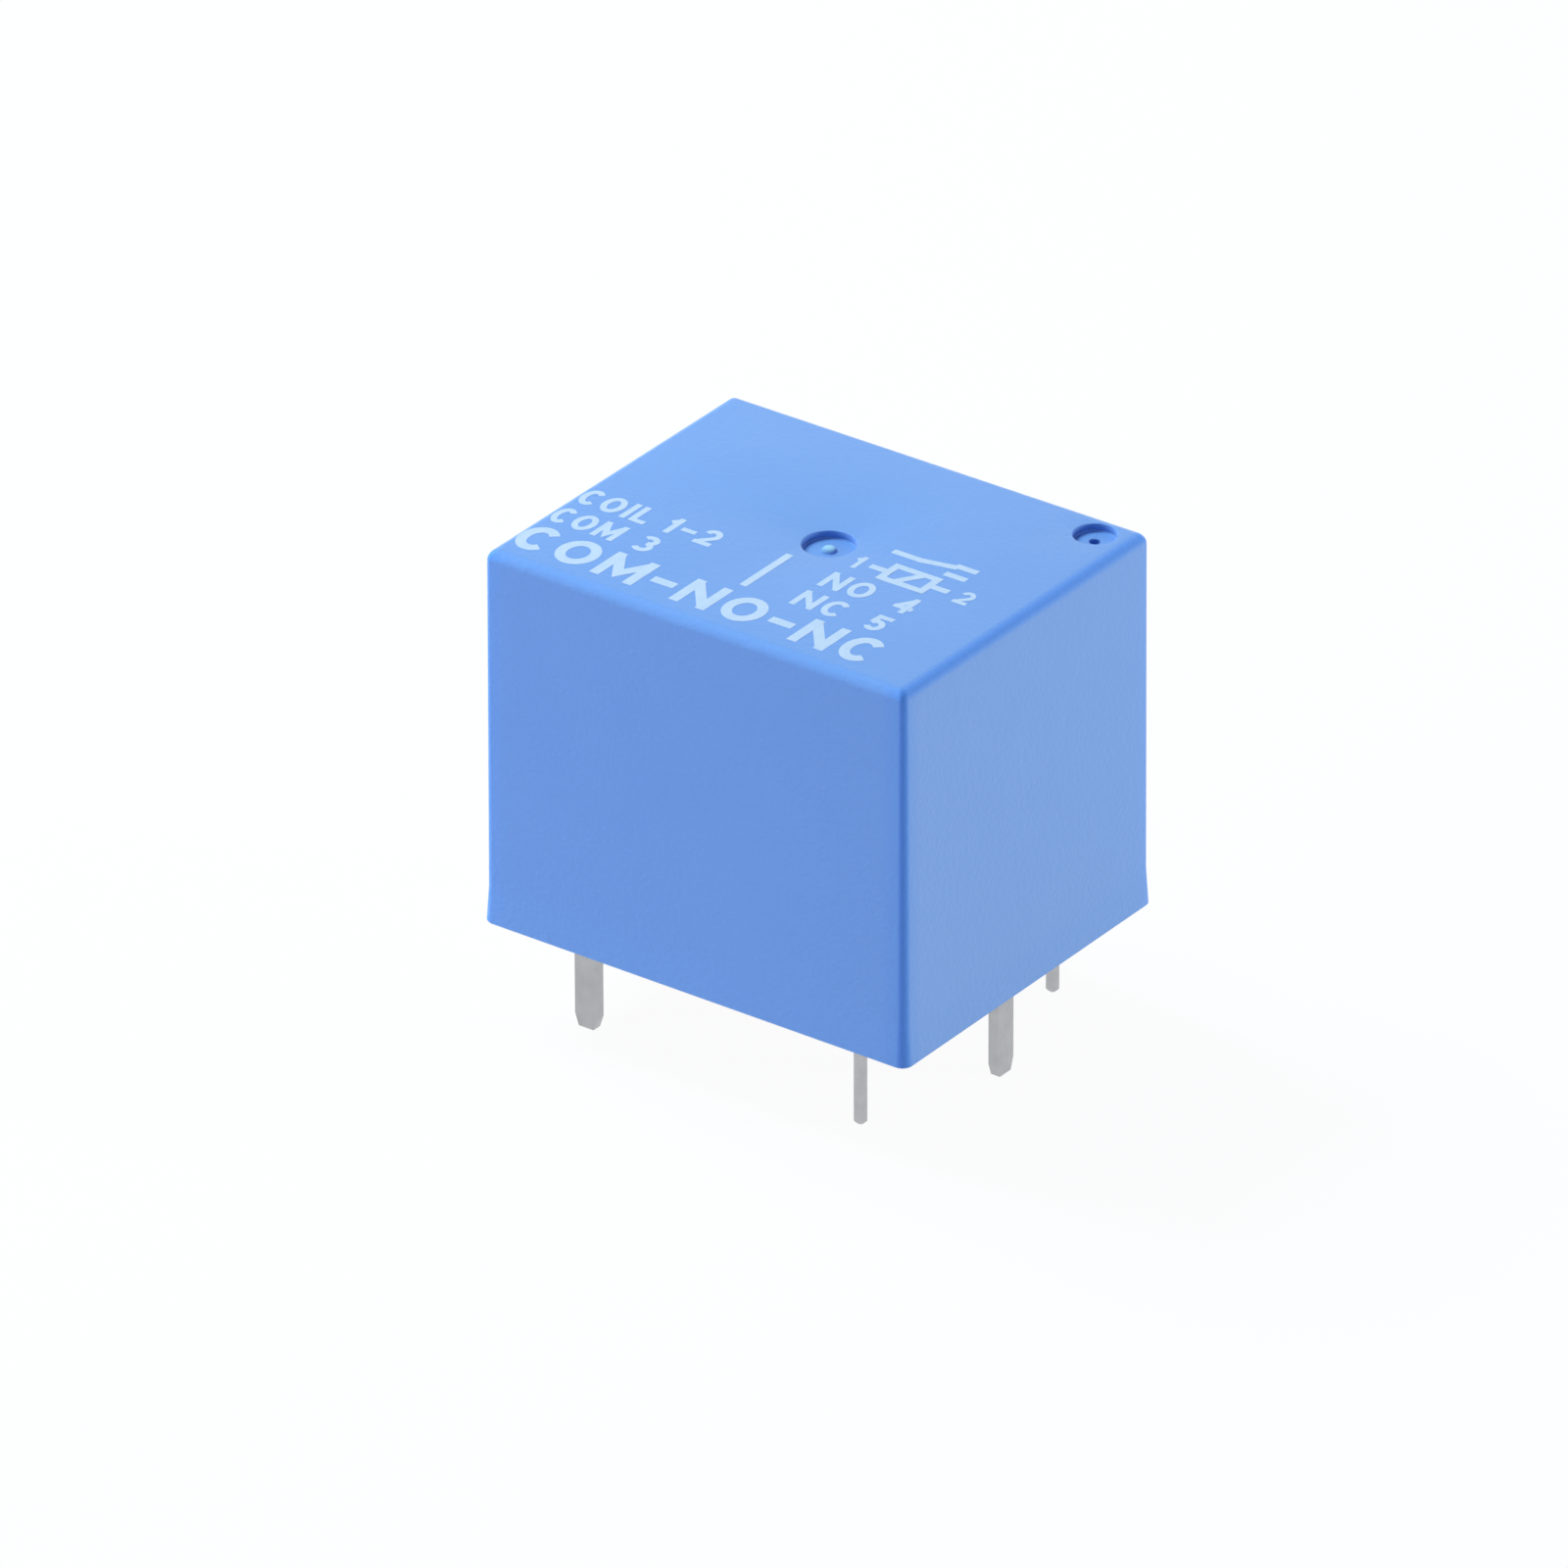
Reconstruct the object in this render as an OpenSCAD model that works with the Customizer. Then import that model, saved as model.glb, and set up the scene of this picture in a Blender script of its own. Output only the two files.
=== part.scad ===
// Sealed changeover power relay for printed circuit boards.
// Millimetres. The origin is the middle of the footprint on the board, +z points up and away
// from the board, +x points to the end with the common pin, and the front face looks along -y.
// The armature is drawn released, resting against the normally closed contact.

/* [Cover] */
// Length of the cover at its rim
cover_length = 19; // [17.5:0.1:23]
// Width of the cover at its rim
cover_width = 15.5; // [14.5:0.1:19]
// Height of the cover above the board
cover_height = 15.3; // [14:0.1:20]
// Thickness of the side walls above the base
cover_wall = 0.8; // [0.65:0.05:0.85]
// Width of the ledge inside the cover that the base is pushed against
base_ledge = 0.15; // [0.1:0.05:0.3]
// Thickness of the top wall
cover_top = 0.9; // [0.6:0.05:1.2]
// Draft of the side walls, in degrees
wall_draft = 0.3; // [0.1:0.05:0.6]
// How far the rim flares out from the side walls
rim_flare = 0.1; // [0.02:0.005:0.15]
// Height of the flare above the rim
flare_height = 1.5; // [0.8:0.1:2.2]
// Radius of the upright edges at the rim
edge_radius = 0.45; // [0.35:0.05:0.7]
// Radius of the edges round the top
top_radius = 0.45; // [0.2:0.05:0.8]

/* [Marks of the mould on the top] */
// Place of the moulding gate along the length
gate_x = 0.5; // [-3:0.05:3]
// Place of the moulding gate across the width
gate_y = 0.05; // [-3:0.05:3]
// Diameter of the recess round the gate
gate_diameter = 2.1; // [1.4:0.05:3]
// Depth of the recess round the gate
gate_depth = 0.3; // [0.15:0.05:0.4]
// Diameter of the broken-off stub in the gate recess
gate_stub_diameter = 0.6; // [0.3:0.05:1]
// Height of the broken-off stub
gate_stub_height = 0.16; // [0.05:0.01:0.25]
// Distance of the vent from the end with the common pin
vent_from_end = 1.66; // [1.5:0.02:3]
// Distance of the vent from the rear side
vent_from_side = 1.49; // [1.05:0.01:3]
// Diameter of the recess round the vent
vent_diameter = 1.7; // [1.2:0.01:1.9]
// Depth of the recess round the vent
vent_depth = 0.3; // [0.15:0.05:0.4]
// Diameter of the vent hole
vent_hole = 0.4; // [0.2:0.05:0.8]

/* [Base and seal] */
// Height of the base's underside above the board
base_recess = 0.9; // [0.6:0.1:1.4]
// Thickness of the base plate
base_thickness = 1.6; // [1.2:0.1:2]
// Thickness of the resin poured under the base
resin_thickness = 0.6; // [0.3:0.05:0.7]
// Thickness of the barrier between the coil and the contacts
barrier_thickness = 0.7; // [0.5:0.05:1]
// Height of the posts that hold the contact terminals
post_height = 4.5; // [2:0.1:6]
// Wall of the posts round a terminal
post_wall = 0.5; // [0.4:0.05:0.7]

/* [Pins] */
// Length of the pins below the board face
pin_length = 4; // [2.5:0.1:5]
// Distance of the outer pins from the side of the cover
pins_from_side = 1.75; // [1.65:0.05:2.2]
// Distance of the common pin from its end of the cover
com_from_end = 1.3; // [1.25:0.05:1.6]
// Distance of the coil pins from the same end
coil_pins_from_end = 3.25; // [3.1:0.05:4]
// Distance of the contact pins from the other end
contact_pins_from_end = 3.55; // [3.3:0.05:4]
// Diameter of a coil pin where it enters the board
coil_pin_diameter = 0.5; // [0.4:0.05:0.6]
// Width of a flat pin
flat_pin_width = 1; // [0.8:0.05:1.2]
// Thickness of the terminals' sheet
terminal_thickness = 0.4; // [0.3:0.05:0.5]

/* [Magnet] */
// Thickness of the yoke's sheet
yoke_thickness = 1.2; // [0.9:0.05:1.5]
// Inside radius of the yoke's bend
yoke_bend = 0.2; // [0.1:0.05:0.5]
// Diameter of the core
core_diameter = 3.4; // [2.8:0.1:4]
// Diameter of the pole face on top of the core
pole_diameter = 6; // [5:0.1:7]
// Thickness of the pole head
pole_thickness = 0.9; // [0.6:0.05:1.2]
// Thickness of the bobbin's two flanges
flange_thickness = 0.7; // [0.5:0.05:1]
// Wall of the bobbin's tube
bobbin_tube = 0.65; // [0.5:0.05:0.9]
// How far the winding stays inside the edge of the flanges
winding_inset = 0.3; // [0.1:0.05:0.8]
// Diameter of the winding's leads
lead_diameter = 0.16; // [0.1:0.01:0.24]

/* [Armature and spring] */
// Thickness of the armature
armature_thickness = 1; // [0.8:0.05:1.2]
// Distance of the armature's sides from the sides of the cover
armature_from_side = 3.75; // [3.55:0.05:4.25]
// How far the armature turns from released to pulled in, in degrees
stroke = 3; // [2:0.1:4]
// Gap left between the pole and the armature when pulled in
residual_gap = 0.05; // [0.03:0.01:0.1]
// Thickness of the spring leaf
spring_thickness = 0.15; // [0.1:0.01:0.2]
// Width of the spring at its contact end
spring_tip_width = 3; // [2.6:0.1:3.6]
// Width of the window that softens the spring at the bend
window_width = 3.4; // [2:0.1:4]

/* [Contacts] */
// Diameter of a contact's head
contact_diameter = 2.2; // [1.6:0.1:2.5]
// Height of a contact's head
contact_height = 0.33; // [0.25:0.01:0.4]
// Diameter of a contact's shank
contact_shank = 1; // [0.8:0.05:1.2]
// Width of the arms that carry the fixed contacts
arm_width = 2.6; // [2.5:0.05:2.9]
// Inside radius of the bend between a terminal's leg and its arm
terminal_bend = 0.4; // [0.2:0.05:0.8]

/* [Hidden] */
$fn = 64;

// Clearances: pressed and riveted pieces, pieces pushed together, and pieces that pass freely
fit_gap = 0.01;
slip_gap = 0.05;
free_gap = 0.15;
// How far a cut runs past the face that it opens
past = 1;
// How many degrees short of its wall a rounded edge of the cover ends
edge_lap = 4;

// Heights of the base and of the room inside the cover
half_length = cover_length / 2;
half_width = cover_width / 2;
skirt_wall = cover_wall - base_ledge;
base_top = base_recess + base_thickness;
inner_top = cover_height - cover_top;
resin_bottom = base_recess - resin_thickness;
// Height inside the plate at which the uprights of the base start, and the top of its posts
base_root = base_recess + base_thickness / 2;
post_top = base_top + post_height;

// Half of an outside size of the cover at height z, from its half at the rim
function outer_half(half, z) = z < flare_height
    ? half - rim_flare * z / flare_height
    : half - rim_flare - (z - flare_height) * tan(wall_draft);
// Half of the room inside the cover at height z
function inner_half(half, z) = outer_half(half, z) - cover_wall;
room_half_width = inner_half(half_width, inner_top) - free_gap / 2;

// Places of the pins
com_x = half_length - com_from_end;
coil_pin_x = half_length - coil_pins_from_end;
contact_x = contact_pins_from_end - half_length;
pin_y = half_width - pins_from_side;
pin_taper = 0.5;
// A coil pin is round wire, coined square with the same section above the resin's face
coil_pin_side = coil_pin_diameter * sqrt(PI) / 2;
coil_pin_grip = sqrt(2) * coil_pin_side;

// Riveted ends: bosses pushed out of the yoke and the armature, and the contacts' shanks
boss_diameter = 0.9;
boss_head_diameter = 1.3;
rivet_end = 0.12;
rivet_end_diameter = contact_shank + 0.4;

// Yoke, and the common terminal on its back
yoke_out = com_x - terminal_thickness / 2;
yoke_in = yoke_out - yoke_thickness;
foot_top = base_top + yoke_thickness;
armature_width = cover_width - 2 * armature_from_side;
ear_width = 0.7;
side_play = 0.1;
yoke_width = armature_width + 2 * (side_play + ear_width);
com_plate_width = 5;
com_plate_height = 2;
com_plate_bottom = base_top + yoke_bend + yoke_thickness + free_gap;
com_plate_top = com_plate_bottom + com_plate_height;
com_boss_y = 1.6;
com_boss_z = com_plate_bottom + com_plate_height / 2;

// Barrier, coil and core in the room between the contacts and the yoke
barrier_x = contact_x + arm_width / 2 + free_gap;
coil_from = barrier_x + barrier_thickness + free_gap;
coil_to = yoke_in - yoke_bend - slip_gap;
core_x = (coil_from + coil_to) / 2;
flange_size = min(coil_to - coil_from, 2 * room_half_width);
flange_corner = 2.2;
winding_radius = flange_size / 2 - winding_inset;
tube_radius = core_diameter / 2 + slip_gap + bobbin_tube;
foot_past_core = 2.4;
// Step from the core to its tail, and how far the tail is spread by riveting
tail_step = 0.5;
tail_spread = 0.4;

// Heights worked down from the inside of the top: contacts, hinge line, pole face and bobbin
headroom = 0.2;
contact_play = 0.02;
hinge_x = yoke_out - free_gap;
contact_reach = hinge_x - contact_x;
nc_arm_top = inner_top - headroom - rivet_end;
nc_arm_bottom = nc_arm_top - terminal_thickness;
moving_stack = armature_thickness + spring_thickness + 2 * fit_gap + contact_height;
moving_rise = contact_reach * sin(stroke) + moving_stack * cos(stroke);
hinge_z = nc_arm_bottom - contact_height - contact_play - moving_rise;
no_arm_top = hinge_z + armature_thickness - 2 * contact_height - contact_play;
pole_face = hinge_z - residual_gap;
bobbin_top = pole_face - pole_thickness;
barrier_top = hinge_z - free_gap;
ear_top = hinge_z + armature_thickness / 2;

// Armature and spring, in the place they have when the armature is pulled in
armature_top = hinge_z + armature_thickness;
armature_boss_past_core = 0.6;
armature_overhang = 0.4;
armature_tip = core_x - pole_diameter / 2 - armature_overhang;
armature_chamfer = 0.8;
heel_gap = 0.1;
heel_x = yoke_out - heel_gap;
heel_land = 0.2;
heel_round = armature_thickness - heel_land;
armature_boss = spring_thickness + 2 * fit_gap;
armature_boss_x = core_x + armature_boss_past_core;
armature_boss_y = 2.1;

// Spring: its leg on the yoke's back, its bend round the heel and its blade on the armature
spring_margin = 0.5;
spring_width = armature_width - 2 * spring_margin;
spring_bend = heel_round + heel_gap;
bend_x = yoke_out - spring_bend;
blade_over_hinge = armature_thickness + fit_gap;
bend_z = hinge_z + (blade_over_hinge - spring_bend - (bend_x - hinge_x) * sin(stroke)) / cos(stroke);
leg_over_plate = 0.4;
leg_bottom = com_plate_top + leg_over_plate;
spring_boss_y = 2.2;
spring_boss_over_leg = 1.1;
spring_boss_z = leg_bottom + spring_boss_over_leg;
window_bottom = spring_boss_z + boss_head_diameter;
window_reach = 0.7;

// Terminal blocks of the bobbin, and the wire wrapped and soldered on the coil pins above them
block_wall = 0.35;
block_before_pin = 1;
block_past_pin = 0.8;
block_over_flange = 0.5;
block_in_y = yoke_width / 2 + free_gap;
block_out_y = pin_y + coil_pin_grip / 2 + block_wall;
block_from_x = coil_pin_x - block_before_pin;
block_to_x = coil_pin_x + block_past_pin;
block_top = foot_top + flange_thickness + block_over_flange;
wrap_bottom = block_top + free_gap;
wrap_height = 0.8;
wrap_top = wrap_bottom + wrap_height;
wrap_radius = coil_pin_grip / 2 + fit_gap + lead_diameter;
solder_height = 0.4;
coil_pin_top = wrap_top + solder_height / 2;

// Carries an outline drawn in x and z along y
module along_y(width) {
    rotate([90, 0, 0])
        linear_extrude(width, center = true)
            children();
}

// Carries an outline drawn in y and z along x
module along_x(length) {
    rotate([90, 0, 90])
        linear_extrude(length, center = true)
            children();
}

// Puts one copy on the rear side and its mirror image on the front side
module both_sides() {
    children();
    on_front() children();
}

// Turns a rear piece into its mirror image on the front side
module on_front() {
    mirror([0, 1, 0])
        children();
}

// Turns a piece that is drawn pulled in about the hinge line to where it rests
module released() {
    translate([hinge_x, 0, hinge_z])
        rotate([0, stroke, 0])
            translate([-hinge_x, 0, -hinge_z])
                children();
}

// Rectangle that reaches back from a corner at the origin, with that corner rounded
module rounded_block(size, radius) {
    intersection() {
        translate(-size)
            square(size);
        union() {
            polygon([[-size.x, 0], [-radius, 0], [0, -radius], [0, -size.y], [-size.x, -size.y]]);
            translate([-radius, -radius])
                circle(radius);
        }
    }
}

// Sheet bent through a right angle, with its outside corner at the origin
module bent_sheet(size, thickness, bend) {
    difference() {
        rounded_block(size, bend + thickness);
        translate([-thickness, -thickness])
            rounded_block(size, bend);
    }
}

// Outline of the cover from one side: flared rim, drafted walls and rounded top edges
module side_outline(half) {
    inset = top_radius * cos(edge_lap);
    centre_z = cover_height - inset;
    centre_x = outer_half(half, centre_z) - inset;
    right = [[half, 0], [half - rim_flare, flare_height], [outer_half(half, cover_height), cover_height]];
    left = [for (i = [len(right) - 1:-1:0]) [-right[i].x, right[i].y]];
    difference() {
        polygon(concat(right, left));
        for (side = [-1, 1])
            translate([side * centre_x, centre_z])
                difference() {
                    translate([side < 0 ? -past : 0, 0])
                        square(past);
                    circle(top_radius);
                }
    }
}

// Outline of the room inside the cover, with the ledge that the base is pushed against
module room_outline(half) {
    skirt = half - skirt_wall;
    right = [
        [skirt, -past], [skirt, base_top], [inner_half(half, base_top), base_top],
        [inner_half(half, inner_top), inner_top]
    ];
    left = [for (i = [len(right) - 1:-1:0]) [-right[i].x, right[i].y]];
    polygon(concat(right, left));
}

// What is left where an outline from the side and one from the end are both carried through
module two_outlines() {
    intersection() {
        along_y(2 * cover_width)
            children(0);
        along_x(2 * cover_length)
            children(1);
    }
}

// What a rounded upright edge takes off the corner at +x and +y
module upright_edge_cut() {
    inset = edge_radius * cos(edge_lap);
    edge_top = outer_half(edge_radius, cover_height);
    translate([half_length - inset, half_width - inset, 0])
        difference() {
            translate([0, 0, -past])
                cube([past, past, cover_height + 2 * past]);
            rotate_extrude()
                polygon([
                    [0, -2 * past], [edge_radius, -2 * past], [edge_radius, 0],
                    [edge_radius - rim_flare, flare_height], [edge_top, cover_height],
                    [edge_top, cover_height + 2 * past], [0, cover_height + 2 * past]
                ]);
        }
}

// Round recess in the top with a sloping wall, cut from the top face down
module top_recess(diameter, depth) {
    floor_radius = diameter / 2 - depth / 5;
    rotate_extrude()
        polygon([
            [0, -depth], [floor_radius, -depth], [diameter / 2, 0], [diameter / 2, past], [0, past]
        ]);
}

module cover() {
    color("#6fa0e8")
        difference() {
            two_outlines() {
                side_outline(half_length);
                side_outline(half_width);
            }
            two_outlines() {
                room_outline(half_length);
                room_outline(half_width);
            }
            for (end = [0, 1])
                mirror([end, 0, 0])
                    both_sides()
                        upright_edge_cut();
            translate([gate_x, gate_y, cover_height])
                difference() {
                    top_recess(gate_diameter, gate_depth);
                    translate([0, 0, -gate_depth])
                        cylinder(h = gate_stub_height, d1 = gate_stub_diameter, d2 = gate_stub_diameter / 2);
                }
            translate([half_length - vent_from_end, half_width - vent_from_side, cover_height]) {
                top_recess(vent_diameter, vent_depth);
                translate([0, 0, -cover_top - past])
                    cylinder(h = cover_top + past, d = vent_hole);
            }
        }
}

// Slot for a flat pin through the base or the resin, with the pin's thickness along y
module pin_slot(gap) {
    slot = [flat_pin_width + 2 * gap, terminal_thickness + 2 * gap];
    translate([-slot.x / 2, -slot.y / 2, resin_bottom - past])
        cube([slot.x, slot.y, base_top - resin_bottom + 2 * past]);
}

// Square length of a coil pin, or the hole for it with a gap all round
module coined_length(length, gap) {
    side = coil_pin_side + 2 * gap;
    translate([-side / 2, -side / 2, 0])
        cube([side, side, length]);
}

// Holes for all five pins
module pin_holes(gap) {
    both_sides() {
        translate([contact_x, pin_y, 0])
            pin_slot(gap);
        translate([coil_pin_x, pin_y, resin_bottom - past])
            coined_length(base_top - resin_bottom + 2 * past, gap);
    }
    translate([com_x, 0, 0])
        rotate(90)
            pin_slot(gap);
}

// Post at the rear with a slot that holds the leg of a contact terminal
module terminal_post() {
    slot = [arm_width + 2 * slip_gap, terminal_thickness + 2 * slip_gap];
    from_x = contact_x - slot.x / 2 - post_wall;
    from_y = pin_y - slot.y / 2 - post_wall;
    to_y = room_half_width - slip_gap;
    difference() {
        translate([from_x, from_y, base_root])
            cube([barrier_x + barrier_thickness / 2 - from_x, to_y - from_y, post_top - base_root]);
        translate([contact_x - slot.x / 2, pin_y - slot.y / 2, base_top])
            cube([slot.x, slot.y, post_height + past]);
    }
}

module base() {
    plate = [cover_length - 2 * (skirt_wall + slip_gap), cover_width - 2 * (skirt_wall + slip_gap)];
    rib_from = core_x - foot_past_core;
    rib_to = block_from_x - free_gap;
    rib_width = 0.6;
    color("#2b2e33")
        difference() {
            union() {
                translate([-plate.x / 2, -plate.y / 2, base_recess])
                    cube([plate.x, plate.y, base_thickness]);
                translate([barrier_x, -room_half_width, base_root])
                    cube([barrier_thickness, 2 * room_half_width, barrier_top - base_root]);
                both_sides() {
                    terminal_post();
                    translate([rib_from, yoke_width / 2 + slip_gap, base_root])
                        cube([rib_to - rib_from, rib_width, foot_top - slip_gap - base_root]);
                }
            }
            pin_holes(slip_gap);
        }
}

module sealing_resin() {
    pool = [cover_length - 2 * skirt_wall, cover_width - 2 * skirt_wall];
    color("#3a3d40")
        difference() {
            translate([-pool.x / 2, -pool.y / 2, resin_bottom])
                cube([pool.x, pool.y, resin_thickness]);
            pin_holes(fit_gap);
        }
}

// Flange of the bobbin in plan: a square with round corners
module flange_outline() {
    straight = flange_size - 2 * flange_corner;
    square([flange_size, straight], center = true);
    square([straight, flange_size], center = true);
    for (x = [-1, 1], y = [-1, 1])
        translate([x * straight / 2, y * straight / 2])
            circle(flange_corner);
}

// Block on the lower flange that grips a coil pin at the rear, and the web that carries it
module coil_pin_block() {
    web_from_y = flange_size / 4;
    translate([block_from_x, block_in_y, base_top])
        cube([block_to_x - block_from_x, block_out_y - block_in_y, block_top - base_top]);
    translate([block_from_x, web_from_y, foot_top])
        cube([coil_to - block_from_x, block_in_y + free_gap - web_from_y, flange_thickness]);
}

module bobbin() {
    color("#e9e4d6")
        difference() {
            union() {
                translate([core_x, 0, foot_top]) {
                    linear_extrude(flange_thickness)
                        flange_outline();
                    cylinder(h = bobbin_top - foot_top, r = tube_radius);
                }
                translate([core_x, 0, bobbin_top - flange_thickness])
                    linear_extrude(flange_thickness)
                        flange_outline();
                both_sides()
                    coil_pin_block();
            }
            translate([core_x, 0, foot_top - past])
                cylinder(h = bobbin_top - foot_top + 2 * past, d = core_diameter + 2 * slip_gap);
            both_sides()
                translate([coil_pin_x, pin_y, base_top - past])
                    coined_length(block_top - base_top + 2 * past, fit_gap);
        }
}

// Lead from the winding to the wire wrapped round a coil pin at the rear
module winding_lead() {
    pin = [coil_pin_x - core_x, pin_y];
    lead_z = wrap_bottom + wrap_height / 2;
    difference() {
        union() {
            translate([core_x, 0, lead_z])
                rotate(atan2(pin.y, pin.x))
                    rotate([0, 90, 0])
                        translate([0, 0, winding_radius - lead_diameter])
                            cylinder(h = norm(pin) - winding_radius + lead_diameter, d = lead_diameter);
            translate([coil_pin_x, pin_y, wrap_bottom])
                cylinder(h = wrap_height, r = wrap_radius);
        }
        translate([coil_pin_x, pin_y, wrap_bottom - past])
            cylinder(h = wrap_height + 2 * past, d = coil_pin_grip + 2 * fit_gap);
    }
}

module coil_winding() {
    from_z = foot_top + flange_thickness;
    to_z = bobbin_top - flange_thickness;
    shoulder = winding_inset;
    color("#b4622d") {
        translate([core_x, 0, 0])
            rotate_extrude()
                polygon([
                    [tube_radius + fit_gap, from_z], [winding_radius - shoulder, from_z],
                    [winding_radius, from_z + shoulder], [winding_radius, to_z - shoulder],
                    [winding_radius - shoulder, to_z], [tube_radius + fit_gap, to_z]
                ]);
        both_sides()
            winding_lead();
    }
}

// Tail of the core, riveted into a countersink under the yoke's foot
// The hole for it is wider all round by gap, and its countersink runs on below the foot
module core_tail(gap, bottom) {
    tail = core_diameter / 2 - tail_step + gap;
    rotate_extrude()
        polygon([
            [0, bottom], [tail + tail_spread + base_top - bottom, bottom],
            [tail, base_top + tail_spread], [tail, foot_top + past], [0, foot_top + past]
        ]);
}

module core() {
    chamfer = 0.15;
    pole_radius = pole_diameter / 2;
    color("#c9ccd0")
        translate([core_x, 0, 0]) {
            core_tail(0, base_top + fit_gap);
            rotate_extrude()
                polygon([
                    [0, foot_top], [core_diameter / 2, foot_top], [core_diameter / 2, bobbin_top],
                    [pole_radius, bobbin_top], [pole_radius, pole_face - chamfer],
                    [pole_radius - chamfer, pole_face], [0, pole_face]
                ]);
        }
}

// Boss on the yoke's back at one place, riveted over a sheet of the given thickness
module yoke_boss(y, z, sheet) {
    translate([yoke_out - yoke_bend, y, z])
        rotate([0, 90, 0])
            cylinder(h = yoke_bend + sheet + rivet_end / 2, d = boss_diameter);
    translate([yoke_out + sheet, y, z])
        rotate([0, 90, 0])
            cylinder(h = rivet_end, d = boss_head_diameter);
}

// Hole for that boss through the sheet on the yoke's back
module yoke_boss_hole(y, z) {
    translate([yoke_out - past, y, z])
        rotate([0, 90, 0])
            cylinder(h = 2 * past, d = boss_diameter + 2 * fit_gap);
}

// Yoke from the side: foot and upright arm of one bent sheet
module yoke_side() {
    size = [yoke_out - core_x + foot_past_core, ear_top - base_top];
    translate([yoke_out, base_top])
        mirror([0, 1])
            bent_sheet(size, yoke_thickness, yoke_bend);
}

module yoke() {
    notch = [yoke_thickness + 2 * past, yoke_width - 2 * ear_width, ear_top - pole_face + past];
    color("#b9bcc0") {
        difference() {
            along_y(yoke_width)
                yoke_side();
            translate([core_x, 0, 0])
                core_tail(fit_gap, base_top - past);
            translate([yoke_in - past, -notch.y / 2, pole_face])
                cube(notch);
        }
        both_sides() {
            yoke_boss(com_boss_y, com_boss_z, terminal_thickness);
            yoke_boss(spring_boss_y, spring_boss_z, spring_thickness);
        }
    }
}

// Armature from the side, with the heel that the spring bends round
module armature_side() {
    translate([heel_x, armature_top])
        rounded_block([heel_x - armature_tip, armature_thickness], heel_round);
}

module armature() {
    cut = sqrt(2) * armature_chamfer;
    color("#c3c6ca")
        released() {
            difference() {
                along_y(armature_width)
                    armature_side();
                both_sides()
                    translate([armature_tip, armature_width / 2, hinge_z])
                        rotate(45)
                            cube([cut, cut, 4 * armature_thickness], center = true);
            }
            both_sides()
                translate([armature_boss_x, armature_boss_y, armature_top]) {
                    translate([0, 0, -heel_land])
                        cylinder(h = heel_land + armature_boss + rivet_end / 2, d = boss_diameter);
                    translate([0, 0, armature_boss])
                        cylinder(h = rivet_end, d = boss_head_diameter);
                }
        }
}

// All that lies inside a bend of the given radius: under the blade and in front of the leg
module spring_inside(radius, extra) {
    along = [-cos(stroke), sin(stroke)];
    start = [bend_x, bend_z] + radius * [sin(stroke), cos(stroke)];
    tip = start + (bend_x - contact_x + spring_tip_width + extra) * along;
    bottom = leg_bottom - extra;
    polygon([[bend_x + radius, bottom], [bend_x + radius, bend_z], start, tip, [tip.x, bottom]]);
    translate([bend_x, bend_z])
        circle(radius);
}

// Spring from the side: leg on the yoke, bend round the heel and blade along the armature
module spring_side() {
    difference() {
        spring_inside(spring_bend + spring_thickness, 0);
        spring_inside(spring_bend, past);
    }
}

// Spring in plan: full width on the armature, then tapering to a round contact end
module spring_plan() {
    translate([armature_tip, -spring_width / 2])
        square([half_length - armature_tip, spring_width]);
    polygon([
        [armature_tip, -spring_width / 2], [armature_tip, spring_width / 2],
        [contact_x, spring_tip_width / 2], [contact_x, -spring_tip_width / 2]
    ]);
    translate([contact_x, 0])
        circle(d = spring_tip_width);
}

module moving_spring() {
    window_from = bend_x - window_reach;
    color("#c98f4e")
        difference() {
            intersection() {
                along_y(spring_width)
                    spring_side();
                released()
                    linear_extrude(2 * cover_height)
                        spring_plan();
            }
            translate([window_from, -window_width / 2, window_bottom])
                cube([half_length - window_from, window_width, cover_height]);
            both_sides() {
                yoke_boss_hole(spring_boss_y, spring_boss_z);
                released()
                    translate([armature_boss_x, armature_boss_y, armature_top - past])
                        cylinder(h = 2 * past, d = boss_diameter + 2 * fit_gap);
            }
            released()
                translate([contact_x, 0, armature_top - past])
                    cylinder(h = 2 * past, d = contact_shank + 2 * fit_gap);
        }
}

// Half outline of a contact's domed head on the x axis, facing up with way = 1 or down with way = -1
module contact_head_outline(way) {
    dome_radius = 2 * contact_diameter;
    intersection() {
        translate([0, min(0, way * contact_height)])
            square([contact_diameter / 2, contact_height]);
        translate([0, way * (contact_height - dome_radius)])
            circle(dome_radius, $fn = 256);
    }
}

// Half outline of a contact's shank through a sheet below the x axis, reaching into both ends
module contact_shank_outline(sheet) {
    translate([0, -sheet - rivet_end / 2])
        square([contact_shank / 2, sheet + rivet_end]);
}

// Contact riveted in a terminal's arm below it, its face up and the arm's top at z = 0
module fixed_contact() {
    rotate_extrude() {
        contact_head_outline(1);
        contact_shank_outline(terminal_thickness);
        translate([0, -terminal_thickness - rivet_end])
            square([rivet_end_diameter / 2, rivet_end]);
    }
}

module moving_contact() {
    color("#d9dade")
        released()
            translate([contact_x, 0, armature_top])
                rotate_extrude() {
                    contact_head_outline(-1);
                    translate([0, armature_boss]) {
                        contact_head_outline(1);
                        contact_shank_outline(armature_boss);
                    }
                }
}

// Flat pin from the side, from its tapered tip at the bottom up to the given height
module flat_pin_outline(top) {
    half = flat_pin_width / 2;
    tip = half - pin_taper / 3;
    polygon([
        [-half, top], [-half, pin_taper - pin_length], [-tip, -pin_length],
        [tip, -pin_length], [half, pin_taper - pin_length], [half, top]
    ]);
}

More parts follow.
